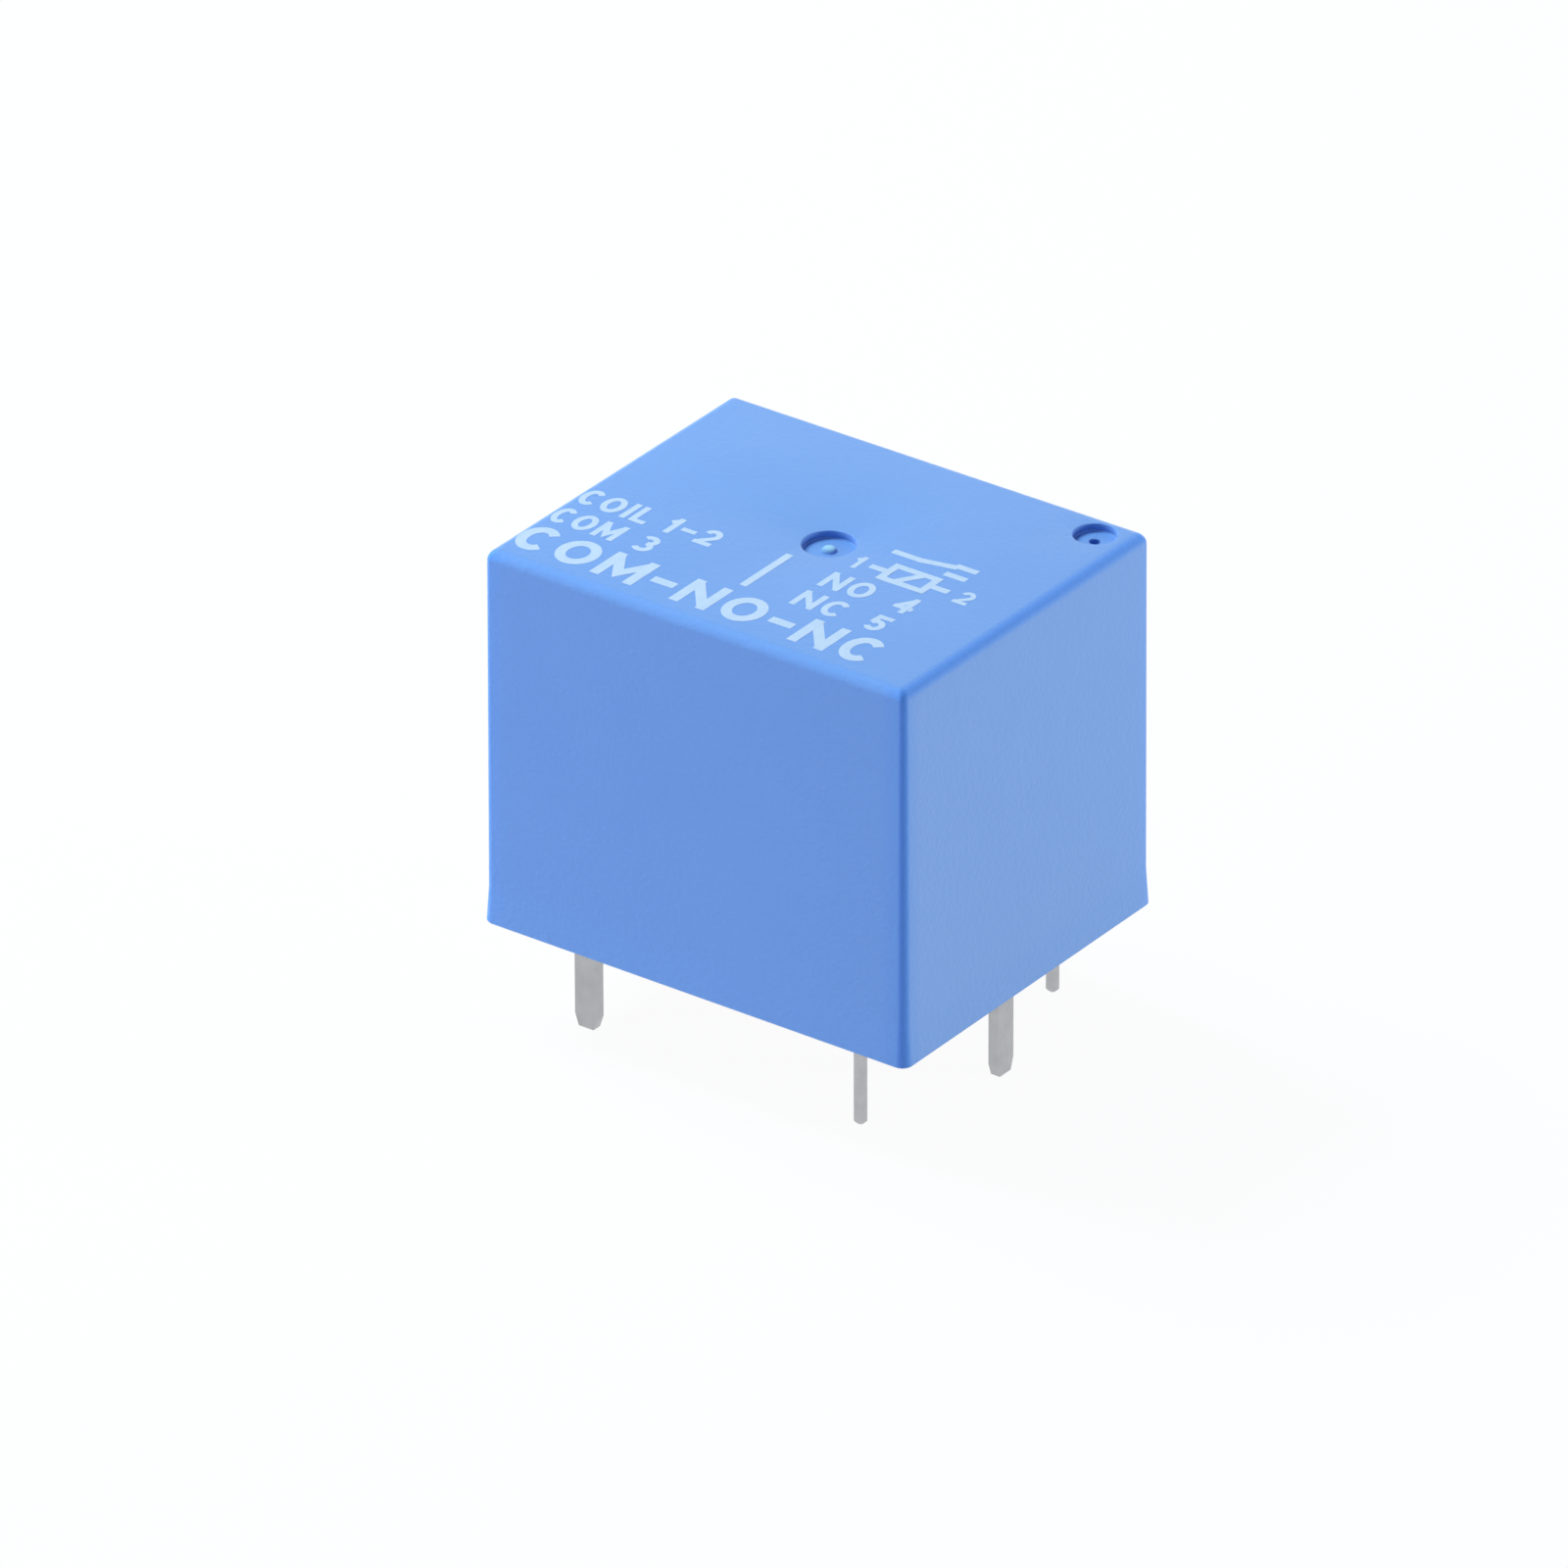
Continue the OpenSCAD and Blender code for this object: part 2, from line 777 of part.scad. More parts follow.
// Terminal at the rear bent from one strip: pin, leg on the base, bend and arm over the middle
module contact_terminal(arm_top) {
    leg_out = pin_y + terminal_thickness / 2;
    difference() {
        union() {
            translate([contact_x, pin_y, 0])
                along_y(terminal_thickness)
                    flat_pin_outline(base_top + flat_pin_width);
            translate([contact_x, 0, 0])
                along_x(arm_width)
                    translate([leg_out, arm_top])
                        bent_sheet([leg_out, arm_top - base_top], terminal_thickness, terminal_bend);
            translate([contact_x, 0, arm_top - terminal_thickness])
                cylinder(h = terminal_thickness, d = arm_width);
        }
        translate([contact_x, 0, arm_top - terminal_thickness - past])
            cylinder(h = terminal_thickness + 2 * past, d = contact_shank + 2 * fit_gap);
    }
}

module nc_terminal() {
    color("#cfc9b8")
        contact_terminal(nc_arm_top);
}

module nc_contact() {
    color("#d9dade")
        translate([contact_x, 0, nc_arm_bottom])
            rotate([180, 0, 0])
                fixed_contact();
}

module no_terminal() {
    color("#cfc9b8")
        on_front()
            contact_terminal(no_arm_top);
}

module no_contact() {
    color("#d9dade")
        translate([contact_x, 0, no_arm_top])
            fixed_contact();
}

module com_terminal() {
    neck = (com_plate_bottom + base_top) / 2;
    half = com_plate_width / 2;
    pin_half = flat_pin_width / 2;
    color("#cfc9b8")
        difference() {
            translate([com_x, 0, 0])
                along_x(terminal_thickness) {
                    flat_pin_outline(com_plate_bottom);
                    polygon([
                        [-half, com_plate_top], [-half, com_plate_bottom], [-pin_half, neck],
                        [pin_half, neck], [half, com_plate_bottom], [half, com_plate_top]
                    ]);
                }
            both_sides()
                yoke_boss_hole(com_boss_y, com_boss_z);
        }
}

// Coil pin at the rear: tapered tip, round length and the square length that is gripped
module coil_pin() {
    radius = coil_pin_diameter / 2;
    tip_radius = radius / 2;
    translate([coil_pin_x, pin_y, 0]) {
        rotate_extrude()
            polygon([
                [0, -pin_length], [tip_radius, -pin_length], [radius, tip_radius - pin_length],
                [radius, resin_bottom], [tip_radius, resin_bottom],
                [tip_radius, base_recess], [0, base_recess]
            ]);
        translate([0, 0, resin_bottom])
            coined_length(coil_pin_top - resin_bottom, 0);
    }
}

module coil_pin_front() {
    color("#b8babc")
        on_front()
            coil_pin();
}

module coil_pin_rear() {
    color("#b8babc")
        coil_pin();
}

// Collar of solder on the wrapped wire, round the top of a coil pin at the rear
module coil_solder() {
    inside = coil_pin_grip / 2 + fit_gap;
    translate([coil_pin_x, pin_y, wrap_top])
        rotate_extrude()
            polygon([
                [inside, 0], [wrap_radius, 0], [wrap_radius, solder_height / 4],
                [inside + lead_diameter / 4, solder_height], [inside, solder_height]
            ]);
}

module coil_solder_front() {
    color("#a9adb2")
        on_front()
            coil_solder();
}

module coil_solder_rear() {
    color("#a9adb2")
        coil_solder();
}

cover();
base();
sealing_resin();
bobbin();
coil_winding();
core();
yoke();
armature();
moving_spring();
moving_contact();
nc_terminal();
nc_contact();
no_terminal();
no_contact();
com_terminal();
coil_pin_front();
coil_pin_rear();
coil_solder_front();
coil_solder_rear();
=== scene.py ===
import math

import bmesh
import bpy
import numpy as np
from mathutils import Matrix
from mathutils.geometry import delaunay_2d_cdt


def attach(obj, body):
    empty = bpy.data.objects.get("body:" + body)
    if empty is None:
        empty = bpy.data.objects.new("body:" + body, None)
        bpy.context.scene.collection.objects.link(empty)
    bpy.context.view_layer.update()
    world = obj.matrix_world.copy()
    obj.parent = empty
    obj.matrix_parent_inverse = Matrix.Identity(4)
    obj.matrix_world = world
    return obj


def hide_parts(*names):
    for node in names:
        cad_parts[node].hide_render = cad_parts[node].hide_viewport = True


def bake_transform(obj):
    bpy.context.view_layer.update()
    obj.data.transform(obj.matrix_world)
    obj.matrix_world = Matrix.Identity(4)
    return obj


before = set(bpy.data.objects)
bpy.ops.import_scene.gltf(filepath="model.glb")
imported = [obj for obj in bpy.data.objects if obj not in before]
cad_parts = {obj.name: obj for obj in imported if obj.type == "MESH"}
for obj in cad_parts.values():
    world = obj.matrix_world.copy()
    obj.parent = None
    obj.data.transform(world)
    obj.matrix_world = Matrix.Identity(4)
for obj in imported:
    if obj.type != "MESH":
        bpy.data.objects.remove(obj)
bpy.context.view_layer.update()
MM = 0.001
SAME_POINT = 1e-7

# Sizes of the cover in millimetres, as in the solids
HALF_LENGTH = 9.5
HALF_WIDTH = 7.75
HEIGHT = 15.3
WALL = 0.8
SKIRT_WALL = 0.65
TOP_WALL = 0.9
LEDGE_Z = 2.5
FLARE = 0.1
FLARE_HEIGHT = 1.5
DRAFT = math.radians(0.3)
UPRIGHT_RADIUS = 0.45
TOP_RADIUS = 0.45
INNER_TOP = HEIGHT - TOP_WALL
GATE = (0.5, 0.05)
GATE_RADIUS = 1.05
VENT = (7.84, 6.26)
VENT_RADIUS = 0.85
VENT_HOLE_RADIUS = 0.2
RECESS_DEPTH = 0.3
RECESS_FLOOR = HEIGHT - RECESS_DEPTH

# Finer detail of the cover, which only the scene has
INNER_CORNER = 0.12
TOP_CORNER = 0.06
RIM_BREAK = 0.05
LIP = 0.03
WALL_SINK = 0.025
# How far past the upright edges' rounding the painted shade fades out
EDGE_SHADE_FADE = 0.05
STUB_HEIGHT = 0.16
# Torn stub in the gate: radius, and height above the recess's floor
STUB = [(0, STUB_HEIGHT), (0.1, STUB_HEIGHT + 0.005), (0.2, STUB_HEIGHT - 0.01),
        (0.26, STUB_HEIGHT - 0.06), (0.31, 0.02), (0.42, 0)]

# Pins: common, normally open, normally closed, front coil and rear coil
PINS = np.array([[8.2, 0.0], [-5.95, -6.0], [-5.95, 6.0], [6.25, -6.0], [6.25, 6.0]])
PIN_LENGTH = 4.0
RESIN_FACE = 0.3
RESIN_TOP = 0.9

# Print on the top: widths of its strokes, and how far the ink lies under and over the plastic
BIG, SMALL, TINY, SYMBOL = 0.4, 0.24, 0.19, 0.3
LETTER_GAP = 0.17
INK_UNDER = 0.004
INK_OVER = 0.006
INK_STEP = 0.0006
INK_LAYERS = 7


# Meshes and pieces

def grid_faces(rows, columns, closed):
    """Four-sided faces of a grid of points stored row by row. If closed, the last column joins the first."""
    row = np.arange(rows - 1)[:, None]
    column = np.arange(columns if closed else columns - 1)[None, :]
    after = (column + 1) % columns
    corners = [row * columns + column, row * columns + after,
               (row + 1) * columns + after, (row + 1) * columns + column]
    return np.stack(np.broadcast_arrays(*corners), axis=-1).reshape(-1, 4)


def join_grids(grids):
    """One list of points and one of faces from several (points, faces) pairs, in millimetres."""
    points, faces, start = [], [], 0
    for grid_points, grid in grids:
        points.append(grid_points.reshape(-1, 3))
        faces += (grid + start).tolist()
        start += len(points[-1])
    return np.concatenate(points), faces


def new_mesh(name, points_mm, faces):
    """Mesh from points in millimetres."""
    mesh = bpy.data.meshes.new(name)
    mesh.from_pydata((np.asarray(points_mm) * MM).tolist(), [], faces)
    return mesh


def merge_points(mesh, turn_outwards):
    """Merges a mesh's doubled points and, if asked, turns its faces outwards."""
    work = bmesh.new()
    work.from_mesh(mesh)
    bmesh.ops.remove_doubles(work, verts=work.verts[:], dist=SAME_POINT)
    if turn_outwards:
        bmesh.ops.recalc_face_normals(work, faces=work.faces[:])
    work.to_mesh(mesh)
    work.free()


def add_object(name, data):
    """Object in the scene from a mesh, a lamp or a camera."""
    made = bpy.data.objects.new(name, data)
    bpy.context.scene.collection.objects.link(made)
    return made


def finish_piece(name, mesh, material, body, smooth_angle=35.0):
    """Object at the origin with its material, smooth except at edges sharper than the angle, on its body."""
    mesh.polygons.foreach_set("use_smooth", np.ones(len(mesh.polygons), bool))
    mesh.set_sharp_from_angle(angle=math.radians(smooth_angle))
    mesh.materials.append(material)
    mesh.update()
    piece = add_object(name, mesh)
    if body:
        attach(piece, body)
    return piece


# Cover

def outer_half(half, z):
    """Half of an outside size at height z: straight lines over the flare, then along the draft."""
    return np.where(z < FLARE_HEIGHT, half - FLARE * z / FLARE_HEIGHT,
                    half - FLARE - (z - FLARE_HEIGHT) * math.tan(DRAFT))


def upright_radius(z):
    """Radius of the upright edges at height z: it shrinks by as much as the walls draw in."""
    return UPRIGHT_RADIUS - (HALF_LENGTH - outer_half(HALF_LENGTH, z))


def rounded_rings(half_x, half_y, radius, z, bow, side_points=25, corner_points=10):
    """Rows of points round rectangles with rounded corners, one row per height.

    Each side runs from u = -1 to 1 and is drawn in by bow times one minus u squared; each corner is a
    quarter circle of the row's radius.
    """
    half = np.stack([half_x, half_y], axis=1)
    u = np.linspace(-1.0, 1.0, side_points)[None, :]
    turn = np.linspace(0.0, math.pi / 2, corner_points)[None, 1:-1]
    rows = []
    for side, normal in enumerate(np.array([[1, 0], [0, 1], [-1, 0], [0, -1]])):
        along = np.array([-normal[1], normal[0]])
        out = half[:, side % 2][:, None]
        reach = (half[:, (side + 1) % 2] - radius)[:, None]
        straight = out - bow[:, None] * (1 - u * u)
        rows.append(straight[..., None] * normal + (reach * u)[..., None] * along)
        corner_out = out - radius[:, None] * (1 - np.cos(turn))
        corner_along = reach + radius[:, None] * np.sin(turn)
        rows.append(corner_out[..., None] * normal + corner_along[..., None] * along)
    plan = np.concatenate(rows, axis=1)
    height = np.broadcast_to(z[:, None, None], plan.shape[:2] + (1,))
    return np.concatenate([plan, height], axis=2)


def cover_profile():
    """Rows of the cover's section: inside wall downwards, ledge, skirt, rim, outside wall and top edge.

    A row is half length, half width, corner radius, height and bow. The outside wall follows the flare and
    the draft, and the top edge is a quarter circle of the top radius. The bow is the sink of the wall times
    the square root of two ramps, one up from near the rim and one down to the top edge.
    """
    wall_top = HEIGHT - TOP_RADIUS
    inside_z = np.linspace(INNER_TOP, LEDGE_Z, 8)
    skirt_z = [LEDGE_Z, 1.2, 0.0]
    outside_z = np.concatenate([[RIM_BREAK, 0.4, 0.8, 1.2], np.linspace(FLARE_HEIGHT, wall_top, 24)])
    turn = np.linspace(0, math.pi / 2, 13)[1:]
    z = np.concatenate([inside_z, skirt_z, [0.0], outside_z, wall_top + TOP_RADIUS * np.sin(turn)])
    halves = []
    for half in (HALF_LENGTH, HALF_WIDTH):
        inside = outer_half(half, inside_z) - WALL
        skirt = np.full(len(skirt_z), half - SKIRT_WALL)
        wall = outer_half(half, outside_z)
        edge = wall[-1] - TOP_RADIUS * (1 - np.cos(turn))
        halves.append(np.concatenate([inside, skirt, [half - RIM_BREAK], wall, edge]))
    inner_rows = len(inside_z) + len(skirt_z)
    upright = upright_radius(outside_z)
    radius = np.concatenate([
        np.full(inner_rows, INNER_CORNER), [UPRIGHT_RADIUS - RIM_BREAK], upright,
        TOP_CORNER + (upright[-1] - TOP_CORNER) * np.cos(turn)])
    sink_start, sink_rise, sink_fall = 0.4, 6.0, 4.0
    ramps = (np.clip((outside_z - sink_start) / sink_rise, 0, 1)
             * np.clip((wall_top - outside_z) / sink_fall, 0, 1))
    bow = np.concatenate([np.zeros(inner_rows + 1), WALL_SINK * np.sqrt(ramps), np.zeros(len(turn))])
    return halves[0], halves[1], radius, z, bow


def revolved(profile, centre, columns=96):
    """Profile of (radius, height) pairs turned about an upright axis through centre."""
    profile = np.asarray(profile, float)
    angle = np.linspace(0, 2 * math.pi, columns, endpoint=False)
    x = centre[0] + profile[:, :1] * np.cos(angle)
    y = centre[1] + profile[:, :1] * np.sin(angle)
    z = np.broadcast_to(profile[:, 1:], x.shape)
    return np.stack([x, y, z], axis=2), grid_faces(len(profile), columns, True)


def recess_wall(radius):
    """Profile up a recess: the corner of its floor, its drafted wall, and a quarter circle for its lip."""
    foot = radius - RECESS_DEPTH / 5
    out, up = 0.02, 0.04
    corner = [(foot - LIP, RECESS_FLOOR), (foot + out, RECESS_FLOOR + up)]
    turn = np.linspace(math.pi / 2, 0, 5)
    lip = np.stack([radius - LIP * np.sin(turn), HEIGHT - LIP * (1 - np.cos(turn))], axis=1)
    return np.concatenate([corner, lip])


def flat_fill(outline, holes, z):
    """Level face inside an outline and round its holes.

    It is the Delaunay net of the outline's and the holes' points, less the triangles whose middle is nearer
    to a hole's centre than its radius.
    """
    loops = [outline[:, :2]] + [loop[:, :2] for loop, centre, radius in holes]
    starts = np.cumsum([0] + [len(loop) for loop in loops])
    edges = np.concatenate([
        start + np.stack([np.arange(len(loop)), np.roll(np.arange(len(loop)), -1)], axis=1)
        for start, loop in zip(starts, loops)])
    net = delaunay_2d_cdt(np.concatenate(loops).tolist(), edges.tolist(), [], 1, SAME_POINT)
    points, faces = np.array(net[0]), np.array(net[2])
    middle = points[faces].mean(axis=1)
    for loop, centre, radius in holes:
        keep = np.hypot(*(middle - centre).T) > radius
        middle, faces = middle[keep], faces[keep]
    return np.column_stack([points, np.full(len(points), z)]), faces


def mark_edge_shade(mesh):
    """Mask of painted shade on the cover, kept as a point attribute: 1 along the rounded edges round its two
    end walls, 0 on its flats.

    On an upright edge it falls with the larger of the depths behind the end wall and behind the side wall,
    and on a top edge with the larger of the depths behind the end wall and under the top.
    """
    points = np.empty(3 * len(mesh.vertices))
    mesh.vertices.foreach_get("co", points)
    x, y, z = np.abs(points.reshape(-1, 3).T) / MM
    behind_end = outer_half(HALF_LENGTH, z) - x
    upright = np.maximum(behind_end, outer_half(HALF_WIDTH, z) - y) / (upright_radius(z) + EDGE_SHADE_FADE)
    top = np.maximum(behind_end, HEIGHT - z) / TOP_RADIUS
    steepness = 1.8
    share = np.clip(steepness * (1 - np.minimum(upright, top)), 0, 1)
    mesh.attributes.new("edge_shade", "FLOAT", "POINT").data.foreach_set("value", share)


def cover_mesh():
    """Closed shell of the cover: a grid round the section, two recesses, and level faces between them."""
    rings = rounded_rings(*cover_profile())
    stub = np.array(STUB) + (0, RECESS_FLOOR)
    gate, gate_faces = revolved(np.concatenate([stub, recess_wall(GATE_RADIUS)]), GATE)
    hole = [(VENT_HOLE_RADIUS, INNER_TOP), (VENT_HOLE_RADIUS, RECESS_FLOOR - LIP),
            (VENT_HOLE_RADIUS + LIP, RECESS_FLOOR)]
    vent, vent_faces = revolved(np.concatenate([hole, recess_wall(VENT_RADIUS)]), VENT)
    points, faces = join_grids([
        (rings, grid_faces(rings.shape[0], rings.shape[1], True)), (gate, gate_faces), (vent, vent_faces),
        flat_fill(rings[-1], [(gate[-1], GATE, GATE_RADIUS), (vent[-1], VENT, VENT_RADIUS)], HEIGHT),
        flat_fill(rings[0], [(vent[0], VENT, VENT_HOLE_RADIUS)], INNER_TOP)])
    mesh = new_mesh("cover_moulding", points, faces)
    merge_points(mesh, turn_outwards=True)
    mark_edge_shade(mesh)
    return mesh


# Resin and spring

def resin_mesh(size=150):
    """Pool of resin whose lower face creeps down the skirt and the pins.

    The face's height falls below its flat level by a creep height times an exponential of the distance from
    the nearest wall, and of the distance from each pin. A slow swell, the product of two sines, is added.
    """
    wall_height, wall_reach = 0.16, 0.22
    pin_height, pin_reach, pin_radius = 0.2, 0.25, 0.3
    swell_height = 0.015
    half_x, half_y = HALF_LENGTH - SKIRT_WALL, HALF_WIDTH - SKIRT_WALL
    fine = np.sin(np.linspace(-math.pi / 2, math.pi / 2, size))
    x, y = np.meshgrid(half_x * fine, half_y * fine, indexing="ij")
    wall = np.minimum(half_x - np.abs(x), half_y - np.abs(y))
    creep = wall_height * np.exp(-wall / wall_reach)
    for pin in PINS:
        away = np.maximum(np.hypot(x - pin[0], y - pin[1]) - pin_radius, 0)
        creep = np.maximum(creep, pin_height * np.exp(-away / pin_reach))
    swell = swell_height * np.sin(0.9 * x + 0.4) * np.sin(0.8 * y + 1.1)
    lower = np.stack([x, y, RESIN_FACE - creep + swell], axis=2).reshape(-1, 3)
    number = np.arange(size * size).reshape(size, size)
    edge = np.concatenate([number[0, :-1], number[:-1, -1], number[-1, :0:-1], number[:0:-1, 0]])
    upper = np.column_stack([lower[edge, :2], np.full(len(edge), RESIN_TOP)])
    ring = size * size + np.arange(len(edge))
    side = np.stack([ring, np.roll(ring, -1), np.roll(edge, -1), edge], axis=1)
    faces = np.concatenate([grid_faces(size, size, False), side]).tolist()
    return new_mesh("resin_pool", np.concatenate([lower, upper]), faces + [ring[::-1].tolist()])


def leaf_spring(material):
    """Copy of the leaf with its points merged, which stands between the yoke's back and the armature in place
    of the leaf from the solids.
    """
    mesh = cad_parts["moving_spring"].data.copy()
    merge_points(mesh, turn_outwards=False)
    mesh.materials.clear()
    piece = finish_piece("spring_leaf", mesh, material, None, 30.0)
    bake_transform(piece)
    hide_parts("moving_spring")


# Print

def arc(centre, radii, start, stop):
    """Points on an ellipse between two angles in degrees, counted from +x towards +y."""
    turn = np.radians(np.linspace(start, stop, 33))
    return np.stack([centre[0] + radii[0] * np.cos(turn), centre[1] + radii[1] * np.sin(turn)], axis=1)


# Letters as strokes through a box one wide and one high, after the width of the letter over its height
LETTERS = {
    "C": (0.7, [arc((0.54, 0.5), (0.54, 0.5), 42, 318)]),
    "O": (0.82, [arc((0.5, 0.5), (0.5, 0.5), -8, 188), arc((0.5, 0.5), (0.5, 0.5), 172, 368)]),
    "I": (0.2, [[(0.5, 0), (0.5, 1)]]),
    "L": (0.62, [[(0, 0), (0, 1)], [(0, 0), (1, 0)]]),
    "M": (0.92, [[(0, 0), (0, 1)], [(0, 1), (0.5, 0.2), (1, 1)], [(1, 0), (1, 1)]]),
    "N": (0.78, [[(0, 0), (0, 1)], [(0, 1), (1, 0)], [(1, 0), (1, 1)]]),
    "1": (0.42, [[(0.9, 0), (0.9, 1)], [(0.9, 0.95), (0, 0.7)]]),
    "2": (0.62, [np.concatenate([arc((0.5, 0.7), (0.5, 0.3), 165, -35), [(0, 0)]]), [(0, 0), (1, 0)]]),
    "3": (0.62, [arc((0.45, 0.76), (0.5, 0.24), 150, -90), arc((0.45, 0.26), (0.55, 0.26), 90, -150)]),
    "4": (0.66, [[(0.75, 0), (0.75, 1)], [(0.72, 0.95), (0, 0.3)], [(0, 0.3), (1, 0.3)]]),
    "5": (0.62, [[(0.1, 1), (0.95, 1)], [(0.1, 1), (0.02, 0.5)], arc((0.45, 0.33), (0.5, 0.3), 152, -150)]),
    "-": (0.5, [[(0, 0.48), (1, 0.48)]]),
}

# Words with the left, lower, right and upper bounds of their boxes on the top, and the width of their strokes
WORDS = [
    ("COM-NO-NC", (-9.0, -6.7, 6.8, -4.85), BIG),
    ("COIL", (-8.95, -2.7, -5.85, -1.5), SMALL), ("1-2", (-5.2, -2.7, -2.9, -1.5), SMALL),
    ("COM", (-8.95, -4.4, -6.0, -3.2), SMALL), ("3", (-5.2, -4.4, -4.45, -3.2), SMALL),
    ("NO", (1.95, -2.75, 4.0, -1.55), SMALL), ("4", (5.1, -2.75, 5.9, -1.55), SMALL),
    ("NC", (1.95, -4.45, 4.0, -3.25), SMALL), ("5", (5.1, -4.45, 5.85, -3.25), SMALL),
    ("1", (1.95, -0.95, 2.35, 0.0), TINY), ("2", (6.6, -0.95, 7.2, 0.0), TINY),
]
DIVIDER = [[(-0.15, -4.2), (-0.15, -1.6)]]
# The coil is a box with a slanted stroke and two leads, and the switch is a changeover contact
COIL = [[(3.5, -0.95), (5.3, -0.95)], [(3.5, 0.1), (5.3, 0.1)], [(3.5, -0.95), (3.5, 0.1)],
        [(5.3, -0.95), (5.3, 0.1)], [(4.05, -0.95), (4.75, 0.1)],
        [(2.85, -0.45), (3.5, -0.45)], [(5.3, -0.45), (6.0, -0.45)]]
SWITCH = [[(2.85, 0.95), (3.9, 0.95)], [(3.9, 0.95), (5.35, 1.25)],
          [(5.35, 1.35), (6.0, 1.35)], [(5.35, 0.65), (6.0, 0.65)]]


def word_strokes(word, box, weight):
    """Strokes of a word that fills a box given by its left, lower, right and upper bounds.

    The letters stand a gap apart, in letter heights, and the whole word is stretched in x to the box's width.
    """
    left, lower, right, upper = box
    widths = [LETTERS[letter][0] for letter in word]
    stretch = (right - left) / (sum(widths) + LETTER_GAP * (len(word) - 1))
    strokes = []
    for letter, width in zip(word, widths):
        room = np.array([max(width * stretch - weight, 0.0), upper - lower - weight])
        corner = np.array([left, lower]) + weight / 2
        strokes += [corner + room * np.asarray(stroke, float) for stroke in LETTERS[letter][1]]
        left += (width + LETTER_GAP) * stretch
    return strokes


def ink_ribbon(stroke, width, low, high):
    """Flat ribbon along a line of points: a closed tube of four corners, mitred at its turns.

    A single level or upright line runs on by half its width at both ends.
    """
    stroke = np.array(stroke, float)
    way = np.diff(stroke, axis=0)
    way /= np.linalg.norm(way, axis=1, keepdims=True)
    along_axis = np.abs(way[0]).max() > 0.999
    if along_axis and len(stroke) == 2:
        stroke += np.stack([-way[0], way[0]]) * width / 2
    across = np.stack([-way[:, 1], way[:, 0]], axis=1)
    mitre = np.concatenate([across[:1], across[1:] + across[:-1], across[-1:]])
    mitre /= np.linalg.norm(mitre, axis=1, keepdims=True)
    mitre /= (mitre * np.concatenate([across[:1], across])).sum(axis=1, keepdims=True)
    left, right = stroke + mitre * width / 2, stroke - mitre * width / 2
    corners = np.stack([np.column_stack([side, np.full(len(side), z)]) for side, z in (
        (left, low), (left, high), (right, high), (right, low))], axis=1)
    end = np.arange(4)
    last = 4 * (len(stroke) - 1)
    return corners, np.concatenate([grid_faces(len(stroke), 4, True), [end[::-1]], [end + last]])


def print_mesh():
    """All the ink on the top: contact names along the front, a table of the pins and the relay's symbol.

    Each stroke lies a hair above the last, so that no two faces share a plane where strokes cross.
    """
    strokes = [(stroke, weight) for word, box, weight in WORDS for stroke in word_strokes(word, box, weight)]
    strokes += [(stroke, SYMBOL) for stroke in DIVIDER + COIL + SWITCH]
    return new_mesh("top_print", *join_grids([
        ink_ribbon(stroke, weight, HEIGHT - INK_UNDER, HEIGHT + INK_OVER + INK_STEP * (count % INK_LAYERS))
        for count, (stroke, weight) in enumerate(strokes)]))


# Finishes

def linear(hex_colour):
    """Linear RGBA from an sRGB hex colour."""
    srgb = np.array([int(hex_colour[i:i + 2], 16) for i in (1, 3, 5)]) / 255
    rgb = np.where(srgb <= 0.04045, srgb / 12.92, ((srgb + 0.055) / 1.055) ** 2.4)
    return (*rgb.tolist(), 1.0)


def feed(tree, node, inputs):
    """Gives a node's inputs values, or links to other nodes' outputs."""
    for name, value in inputs.items():
        if isinstance(value, bpy.types.NodeSocket):
            tree.links.new(value, node.inputs[name])
        else:
            node.inputs[name].default_value = value


def add_node(tree, kind, inputs=None, **settings):
    """Adds one node with its properties and its inputs."""
    node = tree.nodes.new(kind)
    for name, value in settings.items():
        setattr(node, name, value)
    feed(tree, node, inputs or {})
    return node


def colour_of(node):
    """The colour output of a node whose outputs share one name."""
    return next(output for output in node.outputs if output.type == "RGBA")


def empty_tree(owner):
    """The node tree of a material or a world, with nothing in it."""
    owner.use_nodes = True
    owner.node_tree.nodes.clear()
    return owner.node_tree


def start_finish(name, colour, roughness, metallic=0.0, ior=1.5, sheen=0.0):
    """New material with one principled shader, and the object's own coordinates for its patterns."""
    material = bpy.data.materials.new(name)
    tree = empty_tree(material)
    shader = add_node(tree, "ShaderNodeBsdfPrincipled", {
        "Base Color": linear(colour), "Roughness": roughness, "Metallic": metallic, "IOR": ior,
        "Sheen Weight": sheen, "Sheen Roughness": 0.4})
    add_node(tree, "ShaderNodeOutputMaterial", {"Surface": shader.outputs["BSDF"]})
    place = add_node(tree, "ShaderNodeTexCoord").outputs["Object"]
    return material, tree, shader, place


def per_metre(size_mm):
    """Scale of a noise whose features are about the given size."""
    return 1.0 / (size_mm * MM)


